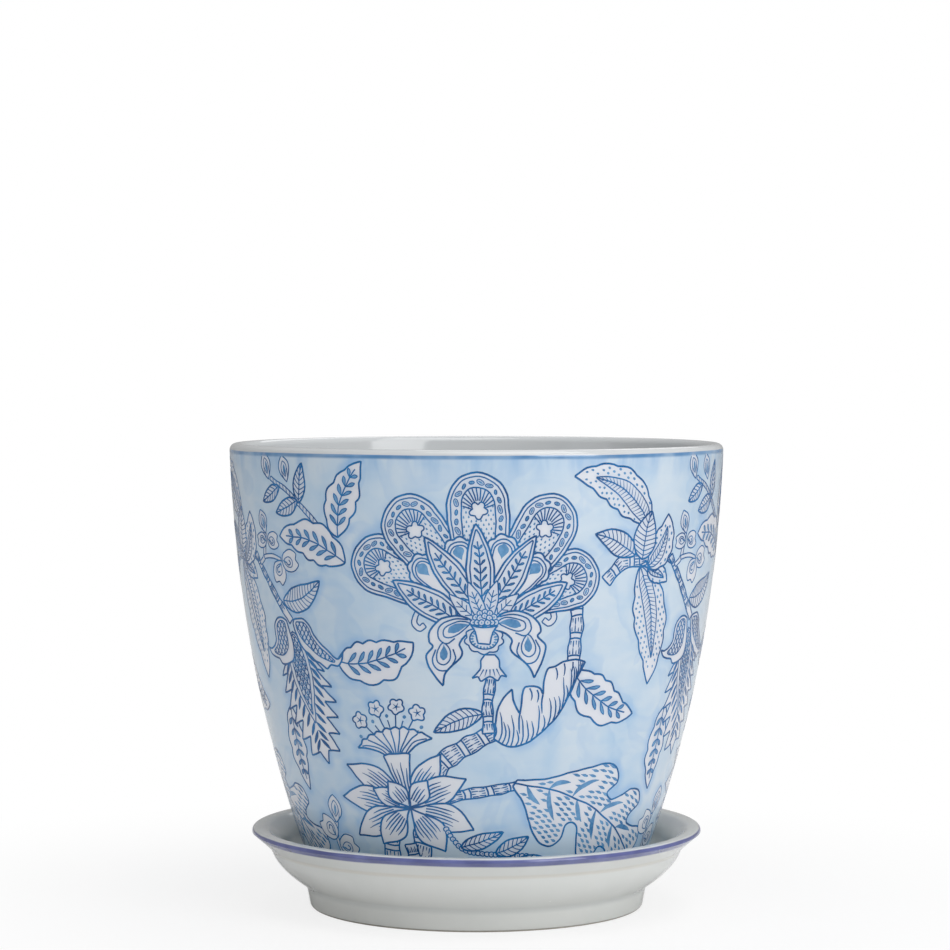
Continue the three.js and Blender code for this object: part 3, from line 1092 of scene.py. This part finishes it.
def hanging_stem(spot):
    stem(spot(-50, 108), [(-22.4, 26), (-13.2, 14.4), (-5, 5), (0.4, -1)], 2.6, 3.2)
    twig = spot(-58, 131)
    stem(twig, [(-4.7, -1.3), (-1, 1.5), (0, 6), (1.6, 12)], 1.9, 1.7, "plain")
    stem(twig, [(-1, 1.5), (5, 2.5), (11.5, 1.5)], 1.7, 1.6, "plain")
    blossom(spot(-51.2, 131.5, 190), 0.9)
    blossom(spot(-51, 131.8, 75), 0.9)
    blossom(spot(-57, 139, -96), 0.68)
    blossom(spot(-56.4, 140, 80), 0.72)
    bud(spot(-57, 142.2, -18), 1.0)
    spray = spot(-39.6, 150.2)
    stem(spray, [(2.2, -2.8), (-7.5, 5.5), (-14.3, 10.1), (-25.2, 15.3)], 1.9, 1.7, "rope")
    bud(spray.at(-26.5, 14.6, -18), 1.05)
    bud(spray.at(-14.2, 13.6, -13), 1.05)
    ribbed_leaf(spray.at(-7.6, 5.8, 5), 16, 6.8, 10)
    ribbed_leaf(spray.at(-8.3, 6.8, -121), 15, 6.6, 16)
    ribbed_leaf(spray.at(-19.5, 12, -126), 13.5, 6.2, 16)
    wavy_leaf(spot(-32.7, 142.4, -3), 34, 14.5, 50)
    wavy_leaf(spot(-31.1, 132.2, -52), 38, 15.5, -46)
    ribbed_leaf(spot(-52, 115.3, 92), 25.5, 10.5, -48)
    wavy_leaf(spot(-56, 71, 186), 36, 12, -14)
    wavy_leaf(spot(-35.6, 92, 97), 37, 17.4, -44)
    toothed_leaf(spot(-50, 102.5, 172.5), 55.5, 31, -4)
    bracts(spot(-50, 106.5))


def small_fillers(spot):
    stem(spot(-47.5, 2), [(1, -2), (0.4, 6), (0, 14), (2, 21)], 1.9, 1.7, "plain")
    bud(spot(-46.3, 22, 8), 1.2)
    blossom(spot(-47.8, 15, -52), 1.05)
    blossom(spot(-47.2, 11, 62), 0.95)


def flowering_branch():
    """One of the three branches, from its back to its front."""
    drawing = []

    def spot(angle, up, turn=0):
        return Pen(drawing, angle, up).at(turn=turn)

    for part in (branch_with_flowers, growth_at_the_foot, cluster_of_leaves, hanging_stem, small_fillers):
        part(spot)
    return drawing


def joining_sprig():
    """A sprig for the wider gap at the back, where the first branch and the last one meet."""
    drawing = []
    foot = Pen(drawing, 174.5, 52)
    stem(foot, [(3, 0), (2.5, 20), (-1, 42), (-1, 62), (2, 84)], 3.8, 2.2)
    wavy_leaf(foot.at(2.6, 10, -44), 21, 9.5, 26)
    ribbed_leaf(foot.at(3, 16, 40), 18, 8, -22)
    ribbed_leaf(foot.at(0.4, 34, -46), 17, 8, 24)
    wavy_leaf(foot.at(0, 40, 44), 20, 9, -26)
    ribbed_leaf(foot.at(-1.4, 56, -42), 17, 7.6, 22)
    ribbed_leaf(foot.at(-0.6, 66, 46), 16, 7.4, -22)
    blossom(foot.at(1.6, 83, -46), 0.95)
    blossom(foot.at(2.2, 83, 52), 0.95)
    bud(foot.at(2, 84, 2), 1.15)
    return drawing


# What shows of the drawing, and how far it is from each spot


def round_the_wall(branch, sprig):
    """All figures the whole way round, the branches interlaced, as (which branch, kind, spots, widths)."""
    around = [(turn, kind, spots + (turn, 0), widths) for kind, spots, widths in branch for turn in TURNS]
    return around + [(TURNS[-1], *figure) for figure in sprig]


def flattened(spots):
    """On a flat copy of the wall, true enough in shape to tell what covers what."""
    return spots * (MM_PER_DEGREE, 1)


def true_size(points):
    """From the flat copy to true millimetres at each height."""
    scale = radius_at(points[:, 1]) * math.radians(1) / MM_PER_DEGREE
    return np.column_stack([points[:, 0] * scale, points[:, 1]])


def in_sight(drawing):
    """The strokes without what later figures cover, or what passes the wall's ends."""
    flat = [flattened(spots) for _, _, spots, _ in drawing]
    ends = np.cumsum([len(spots) for spots in flat])
    starts = ends - [len(spots) for spots in flat]
    every = np.vstack(flat)
    kept = (every[:, 1] > PAINTED[0]) & (every[:, 1] < PAINTED[1])
    for (_, kind, _, _), outline, start in zip(drawing, flat, starts):
        if kind == "figure":
            kept[rows_inside(every[:start], outline)] = False
    strokes = []
    for (turn, kind, spots, widths), start, end in zip(drawing, starts, ends):
        if kind == "figure":
            continue
        for part in unbroken(kept[start:end]):
            if part.stop - part.start > 1:
                strokes.append((turn, kind, spots[part], widths[part]))
    return strokes


def figure_distance(drawing, spots):
    """How far each spot is from the white figures' edge, in millimetres, below 0 on the figures."""
    rings = [flattened(ring) for _, kind, ring, _ in drawing if kind == "figure"]
    once_round = 360 * MM_PER_DEGREE
    past_the_back = [ring for ring in rings if ring[:, 0].max() > once_round * 4 / 9]
    rings += [ring - (once_round, 0) for ring in past_the_back]
    points = flattened(spots)
    within = np.zeros(len(points), bool)
    edge = np.vstack(rings)
    owner = np.repeat(np.arange(len(rings)), [len(ring) for ring in rings])
    open_edge = np.ones(len(edge), bool)
    for number, ring in enumerate(rings):
        within[rows_inside(points, ring)] = True
        rows = rows_inside(edge, ring)
        open_edge[rows[owner[rows] != number]] = False
    tree = search_tree(true_size(edge[open_edge]))
    distance = np.array([tree.find((x, y, 0))[2] for x, y in true_size(points)])
    return np.where(within, -distance, distance)


def ink_nearby(strokes, spots):
    """How much of the ground within 2 mm or so of each spot is inked, as a share."""
    cell = 0.5
    wide, tall = int(360 * MM_PER_DEGREE / cell), int(180 / cell)

    def place(points):
        column = np.floor(points[:, 0] % 360 / 360 * wide).astype(int) % wide
        return np.clip(np.floor(points[:, 1] / cell).astype(int), 0, tall - 1), column

    grid = np.zeros((tall, wide))
    for _, _, points, widths in strokes:
        np.add.at(grid, place(points), widths * POINT_STEP / cell**2)
    grid = np.minimum(grid, 1)
    for axis in (0, 1, 0, 1):
        grid = sum(np.roll(grid, k, axis=axis) for k in (-2, -1, 0, 1, 2)) / 5
    return grid[place(spots)]


def prepare_wall(pot, drawing, strokes):
    """Tells the pot's wall how far the figures are and how much ink is near."""
    places = places_of(pot)
    up = np.interp(places[:, 2], WALL[:, 1], WALL_RUN)
    outside = radius_of(places) > radius_at(up) - POT_OUTSIDE_SLACK
    rows = np.flatnonzero(outside & (places[:, 2] > WALL[0, 1] - MERGED))
    spots = np.column_stack([half_turns(angle_of(places[rows])), up[rows]])
    distance, nearby = np.full(len(places), FAR), np.zeros(len(places))
    distance[rows] = figure_distance(drawing, spots)
    nearby[rows] = ink_nearby(strokes, spots)
    attach(pot, "figure_distance", distance)
    attach(pot, "ink_nearby", nearby)


# Brush strokes as solids


def on_wall(angles, up, proud):
    """Places proud of the pot's wall by so much, in metres."""
    slope = np.gradient(WALL, WALL_RUN, axis=0)
    radius = np.interp(up, WALL_RUN, WALL[:, 0]) + proud * np.interp(up, WALL_RUN, slope[:, 1])
    height = np.interp(up, WALL_RUN, WALL[:, 1]) - proud * np.interp(up, WALL_RUN, slope[:, 0])
    a = np.radians(angles)
    return np.column_stack([radius * np.sin(a), -radius * np.cos(a), height]) * MM


def thinned(spots, widths):
    """Keeps a stroke's points where it turns or changes width, and at least one for each longest step."""
    longest_step, turn, widening = 1.8, 0.2, 0.16
    flat = np.column_stack([spots[:, 0] * math.radians(1) * radius_at(spots[:, 1]), spots[:, 1]])
    run = run_of(flat)
    course = np.unwrap(np.arctan2(*np.gradient(flat, axis=0).T[::-1]))
    kept = [0]
    for k in range(1, len(spots) - 1):
        last = kept[-1]
        turns = abs(course[k] - course[last]) > turn
        wider = abs(widths[k] - widths[last]) > widening
        if run[k] - run[last] > longest_step or turns or wider:
            kept.append(k)
    return np.array(kept + [len(spots) - 1])


def stroke_points(spots, widths, proud, across):
    """A stroke's points, row by row: so many across its top, and one under it, sunk in the wall."""
    scale = math.radians(1) * radius_at(spots[:, 1])
    flat = np.column_stack([spots[:, 0] * scale, spots[:, 1]])
    along = direction(flat)
    aside = leftwards(along) * widths[:, None] / 2 / np.column_stack([scale, np.ones(len(scale))])
    columns = [on_wall(*(spots + aside * share).T, proud) for share in np.linspace(1, -1, across)]
    flat[0] -= along[0] * STROKE_OVERHANG
    flat[-1] += along[-1] * STROKE_OVERHANG
    columns.append(on_wall(flat[:, 0] / scale, flat[:, 1], -STROKE_DEPTH))
    return np.stack(columns, axis=1).reshape(-1, 3)


def stroke_faces(first, rows, size):
    """The faces of a stroke whose rows have so many points: its sides, and its two ends."""
    faces = []
    for here in range(first, first + (rows - 1) * size, size):
        for j in range(size):
            after = (j + 1) % size
            faces.append((here + after, here + size + after, here + size + j, here + j))
    last = first + (rows - 1) * size
    return [*faces, tuple(range(first, first + size))[::-1], tuple(range(last, last + size))]


def brushed(name, strokes, proud, across):
    """One piece from many strokes, each a closed solid that is flat on top."""
    vertices, faces = [], []
    for spots, widths in strokes:
        kept = thinned(spots, widths)
        faces += stroke_faces(sum(map(len, vertices)), len(kept), across + 1)
        vertices.append(stroke_points(spots[kept], widths[kept], proud, across))
    mesh = bpy.data.meshes.new(name)
    mesh.from_pydata(np.vstack(vertices).tolist(), [], faces)
    return put_in(name, mesh)


def brushed_round(strokes, kind, name, material, proud, across):
    """All strokes of one kind, as three pieces round the wall, one for each branch."""
    for side, turn in zip(("left", "front", "right"), TURNS):
        chosen = [(spots, widths) for branch, k, spots, widths in strokes if k == kind and branch == turn]
        piece = brushed(f"{name}_{side}", chosen, proud, across)
        piece.data.materials.append(material)
        places = places_of(piece)
        low, high = places[:, 2].min(), places[:, 2].max()
        spread = half_turns(angle_of(places) - turn) / BRANCH_REACH + 0.5
        unwrap(piece, spread, (places[:, 2] - low) / (high - low))
        shade(piece, 25)
        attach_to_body(piece, "pot")


# Finishes


WHITE = (1, 1, 1, 1)
GLAZE = {"IOR": 1.5, "Coat_Weight": 0.35, "Coat_Roughness": 0.03}


def tone(code):
    """A colour as it is written on a swatch, such as "DDE3EA"."""
    shares = [int(code[k : k + 2], 16) / 255 for k in (0, 2, 4)]
    return (*[c / 12.92 if c <= 0.04045 else ((c + 0.055) / 1.055) ** 2.4 for c in shares], 1.0)


class Value:
    """What a socket gives, for sums written in Python."""

    def __init__(self, nodes, socket):
        self.nodes, self.socket = nodes, socket

    def maths(self, operation, *inputs):
        return self.nodes.node("ShaderNodeMath", {"operation": operation}, dict(enumerate(inputs)))

    def __add__(self, other):
        return self.maths("ADD", self, other)

    def __sub__(self, other):
        return self.maths("SUBTRACT", self, other)

    def __rsub__(self, other):
        return self.maths("SUBTRACT", other, self)

    def __mul__(self, other):
        return self.maths("MULTIPLY", self, other)

    def __abs__(self):
        return self.maths("ABSOLUTE", self)

    __radd__, __rmul__ = __add__, __mul__

    def rising(self, low, high):
        """0 below the first value, 1 above the second, and soft between them."""
        inputs = {"Value": self, "From Min": low, "From Max": high}
        return self.nodes.node("ShaderNodeMapRange", {"interpolation_type": "SMOOTHSTEP"}, inputs)

    def band(self, start, low, high, end):
        """1 between the two middle values, 0 outside the outer ones, and soft between them."""
        return self.rising(start, low) * (1 - self.rising(high, end))


class Nodes:
    """The nodes of a material or of the world."""

    def __init__(self, tree):
        self.tree = tree

    def node(self, kind, settings=None, inputs=None, output=0):
        node = self.tree.nodes.new(kind)
        for name, value in (settings or {}).items():
            setattr(node, name, value)
        for name, value in (inputs or {}).items():
            if isinstance(value, Value):
                self.tree.links.new(value.socket, node.inputs[name])
            else:
                node.inputs[name].default_value = value
        return Value(self, node.outputs[output])

    def existing(self, name):
        return Value(self, self.tree.nodes[name].outputs[0])

    def show(self, output, seen, otherwise, share=1.0):
        """One shader for this share of what the camera sees directly, and another for the rest."""
        camera_ray = self.node("ShaderNodeLightPath", output="Is Camera Ray")
        mixed = self.node("ShaderNodeMixShader", inputs={0: camera_ray * share, 1: otherwise, 2: seen})
        self.tree.links.new(mixed.socket, self.tree.nodes[output].inputs["Surface"])


class Finish(Nodes):
    """A material, and the nodes that feed its shader."""

    def __init__(self, name, **constants):
        self.material = bpy.data.materials.new(name)
        self.material.use_nodes = True
        super().__init__(self.material.node_tree)
        self.shader = self.tree.nodes["Principled BSDF"]
        for socket, value in constants.items():
            self.shader.inputs[socket.replace("_", " ")].default_value = value
        self.place = self.node("ShaderNodeTexCoord", output="Object")

    def noise(self, scale, detail=2.0, distortion=0.0, stretch=(1, 1, 1)):
        place = self.node("ShaderNodeMapping", inputs={"Vector": self.place, "Scale": stretch})
        inputs = {"Vector": place, "Scale": scale, "Detail": detail, "Distortion": distortion}
        return self.node("ShaderNodeTexNoise", inputs=inputs)

    def sway(self, scale, detail, size):
        """A soft unevenness to either side, in millimetres."""
        return (self.noise(scale, detail) - 0.5) * size

    def mix(self, share, first, second):
        return self.node("ShaderNodeMix", {"data_type": "RGBA"}, {0: share, 6: first, 7: second}, output=2)

    def mottled(self, share, first, second):
        return self.mix(share, tone(first), tone(second))

    def over(self, ground, share, colour):
        """A colour laid over the ground, in this share of its strength."""
        return self.mix(share, ground, tone(colour))

    def reading(self, name):
        return self.node("ShaderNodeAttribute", {"attribute_name": name}, output="Fac")

    def height(self):
        return self.node("ShaderNodeSeparateXYZ", inputs={0: self.place}, output="Z") * (1 / MM)

    def feed(self, socket, value):
        self.tree.links.new(value.socket, self.shader.inputs[socket])

    def waves(self, height, distance):
        """Shallow unevenness of the surface."""
        self.feed("Normal", self.node("ShaderNodeBump", inputs={"Height": height, "Distance": distance * MM}))


def glazed(finish, colour, clay):
    """The glaze's colour down to the bare foot, its slight waviness and its few pinholes."""
    finish.feed("Base Color", finish.mix(finish.reading("bare"), colour, clay))
    cells = finish.node("ShaderNodeTexVoronoi", inputs={"Vector": finish.place, "Scale": 110.0})
    pinhole = (1 - cells.rising(0.03, 0.07)) * finish.noise(37, 1.0).rising(0.60, 0.64)
    finish.waves(finish.noise(55) + finish.noise(420) * 0.04 - pinhole * 0.25, 0.10)
    finish.feed("Roughness", 0.07 + finish.noise(90, 3.0) * 0.09 + pinhole * 0.3)
    return finish.material


def watery_blue(finish, height, figure):
    """The blue ground, laid on with a wet brush round the figures."""
    patch = finish.noise(21, 3.0, 0.8).rising(0.36, 0.66)
    cloud = finish.noise(62, 3.0, 0.6).rising(0.34, 0.68)
    brush = finish.noise(120, 3.0, 0.4, (1, 1, 0.22)).rising(0.38, 0.72)
    sweep = finish.noise(95, 3.0, 0.9, (0.5, 0.5, 1.3)).rising(0.38, 0.70)
    wash = finish.mottled(patch * 0.44 + cloud * 0.28 + sweep * 0.20 + brush * 0.08, "CEDCE8", "AFCCE5")
    # where a puddle dried, its edge is a little darker
    wash = finish.over(wash, finish.noise(34, 2.5, 1.2).band(0.52, 0.56, 0.57, 0.72) * 0.20, "86B4E0")
    wash = finish.over(wash, height.rising(*DEEPER_WASH) * brush * 0.55, "86B1DC")
    # colour gathers in pools beside some of the outlines
    pool = (1 - figure.rising(0.3, 4.5)) * finish.noise(26, 3.0, 0.6).rising(0.52, 0.64)
    wash = finish.over(wash, pool * 0.6, "82B2E2")
    return finish.over(wash, finish.noise(30, 3.0, 1.0).rising(0.62, 0.74) * 0.36, "D6E2EC")


def blue_wash():
    """White glaze painted with a watery blue ground round the figures."""
    finish = Finish("blue_wash_glaze", **GLAZE)
    height = finish.height()
    figure = finish.reading("figure_distance")
    white = finish.mottled(finish.noise(40), "D9DDE7", "E1E4EA")
    # a little of the ink has run in the glaze where the lines lie close together
    white = finish.over(white, finish.reading("ink_nearby").rising(0.02, 0.55) * 0.5, "A9C1DC")
    ground = (figure + finish.sway(95, 3.0, 2.2)).rising(-0.15, 0.35)
    wall = finish.mix(ground, white, watery_blue(finish, height, figure))
    lip = finish.mottled(finish.noise(30), "D5D7D8", "CBCFD2")
    swaying = height + finish.sway(16, 1.0, 1.1)
    wall = finish.mix(swaying.rising(*LIP), wall, lip)
    strength = 0.5 + finish.noise(70).rising(0.3, 0.7) * 0.4
    wall = finish.over(wall, swaying.band(*RING_UNDER_LIP) * strength, "427DB2")
    clay = finish.mottled(finish.noise(300, 4.0), "E4DACB", "D2C6B4")
    return glazed(finish, finish.mix(finish.reading("outside"), lip, wall), clay)


def white_glaze():
    """The saucer's white glaze, with a violet-blue band painted round the rim."""
    finish = Finish("white_glaze", **GLAZE)
    height = finish.height()
    outside = finish.reading("outside")
    white = finish.mottled(finish.noise(24, 3.0), "E3E4E1", "DADDDA")
    white = finish.over(white, finish.noise(60, 3.0, 0.5).rising(0.5, 0.75) * 0.25, "EAEBE9")
    # painted shade: the saucer's well under the pot is darker and a little green
    white = finish.over(white, (1 - outside) * (1 - height.rising(*PAINTED_SHADE_IN_WELL)) * 0.8, "C6CEC7")
    # the glaze runs thin over the ridge, and the crease under the bowl is darkened with painted shade
    white = finish.over(white, (1 - abs(height - RIDGE).rising(0.2, 1.3)) * outside * 0.35, "CFC6B4")
    white = finish.over(white, (1 - abs(height - CREASE).rising(0.3, 2.4)) * outside * 0.35, "C6CBCB")
    start, low, high, end = RIM_BAND
    band = (height + finish.sway(19, 2.0, 1.3)).rising(start, low)
    band = band * (1 - (height + finish.sway(28, 2.0, 0.7)).rising(high, end))
    paint = finish.mottled(finish.noise(75, 3.0).rising(0.3, 0.7), "343D84", "525CA0")
    white = finish.mix(band * outside * 0.92, white, paint)
    # darker along the bottom edge of the saucer's outside, above the bare foot
    darker_foot_edge = (1 - height.rising(*DARKER_FOOT_EDGE)) * outside
    white = finish.over(white, darker_foot_edge * (0.5 + finish.noise(60) * 0.5), "8C8478")
    return glazed(finish, white, finish.mottled(finish.noise(300, 4.0), "DCD2C2", "C9BDAA"))


def ink(name, dark, light):
    """Painted lines under the glaze, darker where the brush was full."""
    finish = Finish(name, IOR=1.45, Coat_Weight=0.15, Coat_Roughness=0.03)
    load = finish.noise(85, 3.0, 0.4).rising(0.30, 0.70) * 0.7 + finish.noise(600).rising(0.4, 0.7) * 0.3
    finish.feed("Base Color", finish.mottled(load, dark, light))
    finish.waves(finish.noise(55), 0.08)
    finish.feed("Roughness", 0.09 + finish.noise(90, 3.0) * 0.09)
    return finish.material


# Making the pieces


pot =round_piece("pot_body", pot_section(), POT_TURNS, WALL, POT_OUTSIDE_SLACK, POT_FOOT, 0.6)
drawing = round_the_wall(flowering_branch(), joining_sprig())
strokes = in_sight(drawing)
prepare_wall(pot, drawing, strokes)
pot.data.materials.append(blue_wash())
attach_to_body(pot, "pot")
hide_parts("pot")

saucer = round_piece(
    "saucer_body", saucer_section(), SAUCER_TURNS, saucer_outside(), SAUCER_OUTSIDE_SLACK, 0, 0.3
)
saucer.data.materials.append(white_glaze())
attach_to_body(saucer, "saucer")
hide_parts("saucer")

brushed_round(strokes, "line", "painted_lines", ink("cobalt_line", "024782", "1E78B8"), 0.05, 2)
brushed_round(strokes, "solid", "solid_touches", ink("cobalt_touch", "3172A8", "6FA3CF"), 0.035, 3)


# The studio it stands in


AMBIENT = 0.38
LIT = (0, 0, 0.1)  # what the lamps point at
SOFT_BOXES = {  # place in metres, size in metres and power in watts
    "soft_box_above": ((0.35, -0.5, 1.9), (1.4, 1.4), 16),
    "soft_box_front_right": ((1.45, -1.6, 1.0), (1.2, 1.4), 19),
    "soft_box_left": ((-1.7, -0.9, 0.9), (0.9, 1.3), 2),
    "soft_box_behind": ((0.4, 1.9, 1.7), (1.2, 1.2), 5),
}
CAMERA_PLACE = (-0.0006, -1.364, 0.2351)
CAMERA_DOWNWARDS = 1.126  # in degrees
CAMERA_LENS = 122.4
CAMERA_SHIFT = -0.067


def studio_floor():
    """A wide pale floor, which the camera sees in soft grey near the planter and white beyond it."""
    floor = circle("studio_floor", 96, 12, "NGON")
    finish = Finish("studio_white", Base_Color=tone("F2F2F2"), Roughness=0.9, IOR=1.3)
    away = finish.node("ShaderNodeVectorMath", {"operation": "LENGTH"}, {0: finish.place}, output="Value")
    share = 0.80 + away.rising(0.10, 0.34) * 0.20
    white = finish.node("ShaderNodeEmission", inputs={"Color": WHITE, "Strength": 1.0})
    finish.show("Material Output", white, finish.existing("Principled BSDF"), share)
    floor.data.materials.append(finish.material)


def studio_light():
    """Even light from all round, which the camera itself sees as white."""
    world = bpy.data.worlds.new("studio")
    bpy.context.scene.world = world
    world.use_nodes = True
    nodes = Nodes(world.node_tree)
    ambient = nodes.existing("Background")
    ambient.socket.node.inputs["Color"].default_value = WHITE
    ambient.socket.node.inputs["Strength"].default_value = AMBIENT
    nodes.show("World Output", nodes.node("ShaderNodeBackground", inputs={"Color": WHITE}), ambient)


def soft_box(name, place, size, watts):
    data = bpy.data.lights.new(name, "AREA")
    data.shape = "RECTANGLE"
    data.size, data.size_y = size
    data.energy = watts
    lamp = put_in(name, data)
    lamp.location = place
    lamp.rotation_euler = (Vector(LIT) - Vector(place)).to_track_quat("-Z", "Y").to_euler()


def studio_camera():
    data = bpy.data.cameras.new("camera")
    data.lens = CAMERA_LENS
    data.shift_y = CAMERA_SHIFT
    camera = put_in("camera", data)
    camera.location = CAMERA_PLACE
    camera.rotation_euler = (math.radians(90 - CAMERA_DOWNWARDS), 0, 0)
    bpy.context.scene.camera = camera


studio_floor()
studio_light()
for name, (place, size, watts) in SOFT_BOXES.items():
    soft_box(name, place, size, watts)
studio_camera()
bpy.context.scene.view_settings.view_transform = "Standard"
